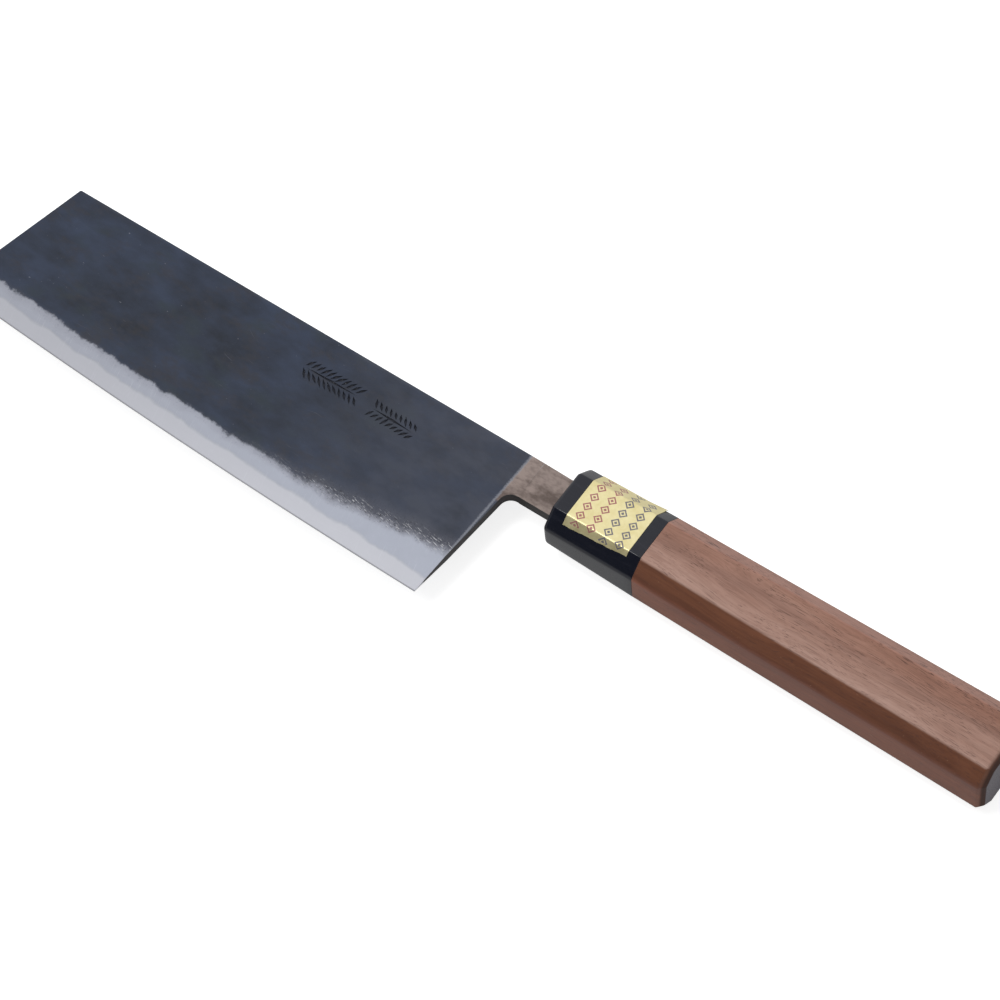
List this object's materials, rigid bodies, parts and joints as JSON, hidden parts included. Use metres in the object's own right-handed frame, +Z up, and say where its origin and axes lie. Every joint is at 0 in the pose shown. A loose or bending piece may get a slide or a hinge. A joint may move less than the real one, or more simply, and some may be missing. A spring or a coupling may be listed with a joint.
{
  "type": "nakiri knife",
  "caption": "Straight-edged vegetable knife with a laminated blade, dark forge finish, ground bevel, and an octagonal wooden handle with a horn ferrule.",
  "frame": {"origin": "bottom centre of the whole knife's box, the knife lying on its right side", "axes": "+X along the knife from the blade towards the butt, +Y from the cutting edge towards the spine, +Z up out of the blade's left face"},
  "size_m": [0.3214, 0.0564, 0.0212],
  "materials": {
    "edge_steel": "whetstone ground, fine scratches across the edge",
    "forged_iron": "blue-black forge scale on the flats, hazy ground bevel",
    "black_horn": "polished black buffalo horn",
    "walnut": "satin oiled walnut, grain along the handle",
    "dowel_wood": "raw, hidden inside",
    "resin": "dark cured resin",
    "gold_foil": "thin gold foil with a printed ornament, no lettering"
  },
  "bodies": {
    "root": {"core_steel": "edge_steel", "cladding_left": "forged_iron", "cladding_right": "forged_iron", "ferrule": "black_horn", "handle_body": "walnut", "tang_dowel": "dowel_wood", "mouth_seal": "resin", "label": "gold_foil"}
  },
  "joints": []
}
